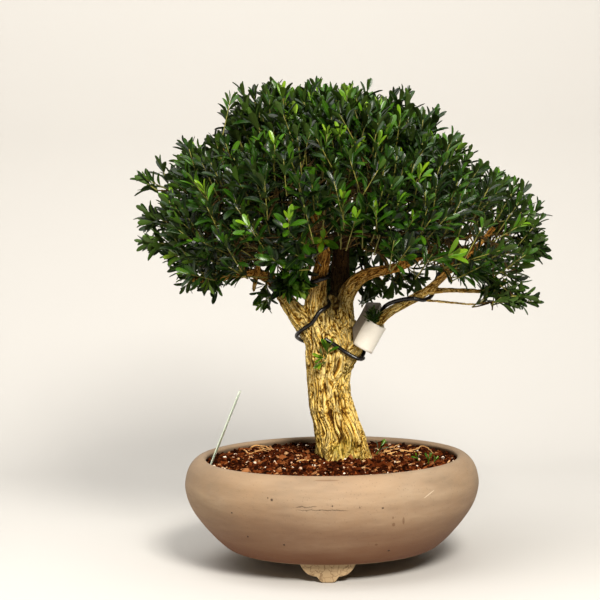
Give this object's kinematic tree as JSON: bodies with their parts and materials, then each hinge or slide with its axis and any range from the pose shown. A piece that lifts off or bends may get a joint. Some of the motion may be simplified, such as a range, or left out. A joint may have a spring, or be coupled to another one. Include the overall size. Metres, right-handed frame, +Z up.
{
  "type": "boxwood bonsai",
  "caption": "Boxwood bonsai with corky trunk and small glossy leaves in a round grey-brown stoneware pot on three scalloped feet, with training wire and a blank white tag",
  "frame": {"origin": "the middle of the footprint of the whole tree in its pot, on the table top", "axes": "+Z up from the pot's feet to the crown, +X to the right as seen from the front of the tree, +Y away from the viewer to its back"},
  "size_m": [0.4602, 0.3746, 0.5363],
  "materials": {
    "stoneware": "unglazed matte",
    "soil": "loose bark and grit",
    "bark": "rough furrowed bark",
    "leaf": "glossy leaf",
    "wire": "black satin",
    "strip": "plain white",
    "clear_plastic": "clear",
    "screen": "moulded mesh"
  },
  "bodies": {
    "root": {"pot": "stoneware", "drain_mesh": "screen", "mesh_clip": "wire", "soil": "soil", "trunk_and_limbs": "bark", "wire_left_stem": "wire", "wire_right_branch": "wire", "label_loop": "strip", "label_stake": "clear_plastic", "trunk_shoot": "leaf", "spray_apex": "leaf", "spray_upper_1": "leaf", "spray_upper_2": "leaf", "spray_upper_3": "leaf", "spray_upper_4": "leaf", "spray_upper_5": "leaf", "spray_middle_1": "leaf", "spray_middle_2": "leaf", "spray_middle_3": "leaf", "spray_middle_4": "leaf", "spray_middle_5": "leaf", "spray_middle_6": "leaf", "spray_middle_7": "leaf", "spray_middle_8": "leaf", "spray_middle_9": "leaf", "spray_lower_1": "leaf", "spray_lower_2": "leaf", "spray_lower_3": "leaf", "spray_lower_4": "leaf", "spray_lower_5": "leaf", "spray_lower_6": "leaf", "spray_lower_7": "leaf", "spray_lower_8": "leaf", "spray_lower_9": "leaf", "spray_lower_10": "leaf", "spray_low_right": "leaf"}
  },
  "joints": []
}
